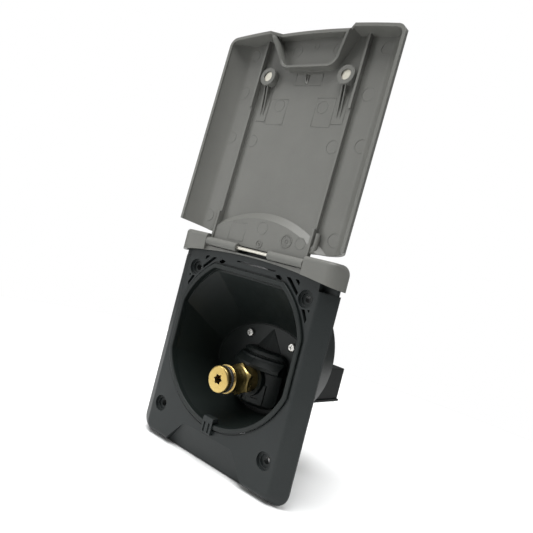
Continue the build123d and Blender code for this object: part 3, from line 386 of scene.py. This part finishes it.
def lid_floor_marks():
    """Thin witness rings that the ejector pins left on the lid's floor."""
    bm = bmesh.new()
    for x, s, radius in FLOOR_RINGS:
        add_ring(bm, x, s, radius, RING_WIDTH, RING_HEIGHT, floor_height(x, s))
    finish_piece("lid_ejector_rings", bm, GREY)


def lid_dial_marks():
    """Two moulded date dials near the hinge: a rim, a hub and ticks, with no figures."""
    bm = bmesh.new()
    for x, s, radius, ticks in DIALS:
        base = floor_height(x, s)
        add_ring(bm, x, s, radius, DIAL_RIM, DIAL_RIM, base)
        add_ring(bm, x, s, radius * DIAL_HUB_SHARE, DIAL_HUB, DIAL_HUB, base, 20)
        reach = radius * DIAL_TICK_SHARE
        for i in range(ticks):
            turn = 2 * math.pi * i / ticks
            add_bar(bm, x + reach * math.cos(turn), s + reach * math.sin(turn), TICK_LENGTH, TICK_WIDTH,
                    TICK_WIDTH, base, turn + math.pi / 2)
    finish_piece("lid_date_dials", bm, GREY)


def lid_centre_mark():
    """Two raised bars side by side under the notch, their crests rubbed bright."""
    bm = bmesh.new()
    for x, s, turn in CENTRE_BARS:
        add_bar(bm, x, s, CENTRE_BAR_LENGTH, CENTRE_BAR_WIDTH, CENTRE_BAR_HEIGHT, floor_height(x, s), turn)
    finish_piece("lid_centre_mark", bm, RUBBED)


def lid_floor_frames():
    """Low outlines of mould inserts on the lid's floor: the one round the centre mark and the panels."""
    bm = bmesh.new()
    for x0, x1, s0, s1 in INSERTS:
        sides = [((x0 + x1) / 2, s0, x1 - x0, math.pi / 2), ((x0 + x1) / 2, s1, x1 - x0, math.pi / 2),
                 (x0, (s0 + s1) / 2, s1 - s0, 0.0), (x1, (s0 + s1) / 2, s1 - s0, 0.0)]
        for x, s, length, turn in sides:
            add_bar(bm, x, s, length, INSERT_WIDTH, INSERT_HEIGHT, floor_height(x, s), turn)
    finish_piece("lid_insert_lines", bm, GREY)


lid_floor_marks()
lid_dial_marks()
lid_centre_mark()
lid_floor_frames()


# ---- light, floor and camera ---------------------------------------------------------------
def make_floor():
    """Wide pale disc for a floor, just under the object."""
    bm = bmesh.new()
    bmesh.ops.create_circle(bm, cap_ends=True, segments=96, radius=FLOOR_RADIUS)
    mesh = bpy.data.meshes.new("studio_floor")
    bm.to_mesh(mesh)
    bm.free()
    floor = bpy.data.objects.new("studio_floor", mesh)
    floor.location = (0, 0, cad_box[0][2] - FLOOR_GAP)
    material, tree, shader, coords = new_material("studio_floor")
    tone = ramp(tree, noise(tree, coords, 3.0), (0.86, 0.87, 0.87), (0.90, 0.90, 0.90))
    tree.links.new(tone, shader.inputs["Base Color"])
    shader.inputs["Roughness"].default_value = 0.9
    mesh.materials.append(material)
    bpy.context.scene.collection.objects.link(floor)


def add_soft_box(name, place, size, power):
    """Rectangular area light that looks at the object."""
    lamp = bpy.data.lights.new(name, "AREA")
    lamp.shape = "RECTANGLE"
    lamp.size, lamp.size_y = size
    lamp.energy = power
    light = bpy.data.objects.new(name, lamp)
    light.location = place
    light.rotation_euler = (Vector(LIT_POINT) - Vector(place)).to_track_quat("-Z", "Y").to_euler()
    bpy.context.scene.collection.objects.link(light)


def make_world():
    """White backdrop for the camera, and for the object soft light with more of it from above."""
    world = bpy.data.worlds.new("studio")
    bpy.context.scene.world = world
    world.use_nodes = True
    tree = world.node_tree
    background = tree.nodes["Background"]
    coords = tree.nodes.new("ShaderNodeTexCoord").outputs["Generated"]
    split = tree.nodes.new("ShaderNodeSeparateXYZ")
    tree.links.new(coords, split.inputs[0])
    height = tree.nodes.new("ShaderNodeMapRange")
    height.inputs["From Min"].default_value = -1.0
    height.inputs["To Min"].default_value = WORLD_LOW
    height.inputs["To Max"].default_value = WORLD_HIGH
    tree.links.new(split.outputs["Z"], height.inputs["Value"])
    seen = tree.nodes.new("ShaderNodeLightPath").outputs["Is Camera Ray"]
    strength = tree.nodes.new("ShaderNodeMix")
    strength.inputs["B"].default_value = 1.0
    tree.links.new(seen, strength.inputs["Factor"])
    tree.links.new(height.outputs["Result"], strength.inputs["A"])
    tree.links.new(strength.outputs["Result"], background.inputs["Strength"])
    background.inputs["Color"].default_value = (1.0, 1.0, 1.0, 1)


def make_lights():
    """Two soft boxes, and a wide sun that washes the floor white."""
    add_soft_box("overhead", OVERHEAD_PLACE, OVERHEAD_SIZE, OVERHEAD_POWER)
    add_soft_box("front_left", FRONT_PLACE, FRONT_SIZE, FRONT_POWER)
    sun = bpy.data.lights.new("floor_wash", "SUN")
    sun.energy = WASH_STRENGTH
    sun.angle = WASH_SPREAD
    wash = bpy.data.objects.new("floor_wash", sun)
    wash.rotation_euler = (WASH_TILT, 0, 0)
    bpy.context.scene.collection.objects.link(wash)


def make_camera():
    """The camera that took the photograph, as near as its picture tells."""
    camera = bpy.data.objects.new("camera", bpy.data.cameras.new("camera"))
    camera.data.sensor_width = CAMERA_SENSOR
    camera.data.lens = CAMERA_LENS
    camera.data.clip_start = 0.01
    camera.data.clip_end = 100.0
    camera.location = CAMERA_PLACE
    camera.rotation_euler = [math.radians(angle) for angle in CAMERA_TURN]
    bpy.context.scene.collection.objects.link(camera)
    bpy.context.scene.camera = camera


make_camera()
make_world()
make_lights()
make_floor()
bpy.context.scene.view_settings.view_transform = "Standard"
